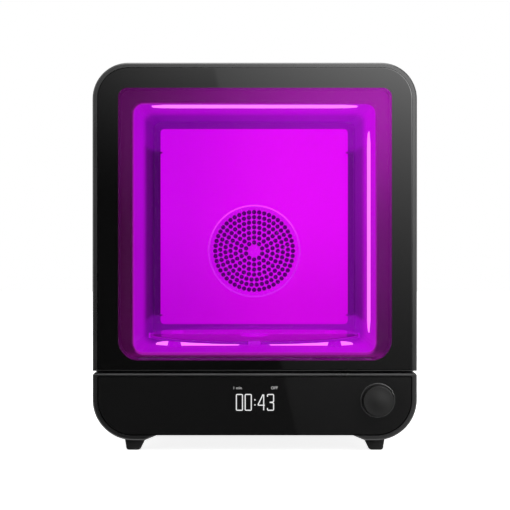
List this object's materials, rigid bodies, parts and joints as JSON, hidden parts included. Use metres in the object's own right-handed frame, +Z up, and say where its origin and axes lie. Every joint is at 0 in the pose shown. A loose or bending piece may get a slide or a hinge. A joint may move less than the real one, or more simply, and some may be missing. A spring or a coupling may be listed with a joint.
{
  "type": "resin curing station",
  "caption": "Desktop light and heat curing chamber with a left-hung glass door, a clear turntable, a rear circulation fan and a lower control panel with a timer display and a push knob.",
  "frame": {"origin": "centre of the footprint box on the table surface", "axes": "+X to the user's right, +Y to the rear, +Z up; the door and knob face -Y"},
  "size_m": [0.28, 0.3194, 0.336],
  "materials": {
    "casing_paint": "fine satin powder coat, near black",
    "bezel_plastic": "satin moulded rim, near black",
    "black_glass": "opaque black glass, glossy",
    "tinted_glass": "violet blocking tint, glossy",
    "inner_plastic": "plain moulded black",
    "seal_rubber": "silicone seal and soft feet",
    "knob_plastic": "soft satin knob",
    "rocker_plastic": "glossy rocker",
    "steel": "plain steel",
    "reflector": "white coated, lit from inside",
    "galvanised": "bare sheet",
    "lens": "milky lens over the lights",
    "board": "circuit board",
    "display": "dark display behind the glass",
    "turntable_glass": "clear glass plate",
    "turntable_plastic": "grey moulded",
    "bronze": "plain bearing bronze"
  },
  "bodies": {
    "housing": {"back_reflector": "reflector", "base_tray": "galvanised", "board_standoffs": "steel", "chamber_liner": "reflector", "control_board": "board", "control_glass": "black_glass", "display_module": "display", "door_sensor": "inner_plastic", "door_strikes": "steel", "encoder_body": "inner_plastic", "exhaust_fan_frame": "inner_plastic", "fan_grille": "reflector", "fan_motor": "inner_plastic", "fan_plenum": "galvanised", "floor_light_lenses": "lens", "foot_front_left": "seal_rubber", "foot_front_right": "seal_rubber", "foot_rear_left": "seal_rubber", "foot_rear_right": "seal_rubber", "front_frame": "inner_plastic", "heater_element": "steel", "hinge_brackets": "steel", "hinge_screws": "steel", "knob_ring": "bezel_plastic", "light_boards": "board", "light_sinks": "galvanised", "logic_board": "board", "lower_bezel": "bezel_plastic", "motor_bracket": "steel", "outer_shell": "casing_paint", "power_inlet": "inner_plastic", "power_supply": "galvanised", "rear_panel": "casing_paint", "rear_screws": "steel", "side_light_lens": "lens", "switch_housing": "inner_plastic", "temperature_probe": "steel", "top_light_lens": "lens", "turntable_bush": "bronze", "turntable_motor": "steel", "turntable_posts": "turntable_plastic"},
    "door": {"door_frame": "bezel_plastic", "door_glass": "tinted_glass", "door_inner_pane": "tinted_glass", "door_inner_panel": "inner_plastic", "door_magnets": "steel", "door_gasket": "seal_rubber", "hinge_pins": "steel"},
    "turntable": {"turntable_glass": "turntable_glass", "turntable_hub": "turntable_plastic", "turntable_clips": "turntable_plastic", "turntable_shaft": "steel"},
    "circulation_rotor": {"fan_rotor": "galvanised", "fan_shaft": "steel"},
    "exhaust_rotor": {"exhaust_fan_rotor": "inner_plastic"},
    "knob_carriage": {"encoder_plunger": "inner_plastic"},
    "knob": {"knob": "knob_plastic", "knob_stem": "steel"},
    "rocker": {"switch_rocker": "rocker_plastic"}
  },
  "joints": [
    {"name": "door_hinge", "type": "hinge", "parent": "housing", "child": "door", "pos_m": [-0.134, -0.12825, 0.193], "axis": [0, 0, -1], "range_deg": [0, 100]},
    {"name": "turntable_spin", "type": "hinge", "parent": "housing", "child": "turntable", "pos_m": [0, -0.01325, 0.0898], "axis": [0, 0, 1], "continuous": true},
    {"name": "circulation_fan_spin", "type": "hinge", "parent": "housing", "child": "circulation_rotor", "pos_m": [0, 0.09975, 0.1695], "axis": [0, -1, 0], "continuous": true},
    {"name": "exhaust_fan_spin", "type": "hinge", "parent": "housing", "child": "exhaust_rotor", "pos_m": [0.062, 0.14575, 0.046], "axis": [0, -1, 0], "continuous": true},
    {"name": "knob_push", "type": "slide", "parent": "housing", "child": "knob_carriage", "axis": [0, 1, 0], "range_m": [0, 0.001], "stiffness_N_per_m": 2000, "springref_m": -0.0005},
    {"name": "knob_turn", "type": "hinge", "parent": "knob_carriage", "child": "knob", "pos_m": [0.1062, -0.15025, 0.0447], "axis": [0, -1, 0], "continuous": true},
    {"name": "power_switch_rock", "type": "hinge", "parent": "housing", "child": "rocker", "pos_m": [-0.044, 0.15475, 0.042], "axis": [1, 0, 0], "range_deg": [-16, 0]}
  ]
}
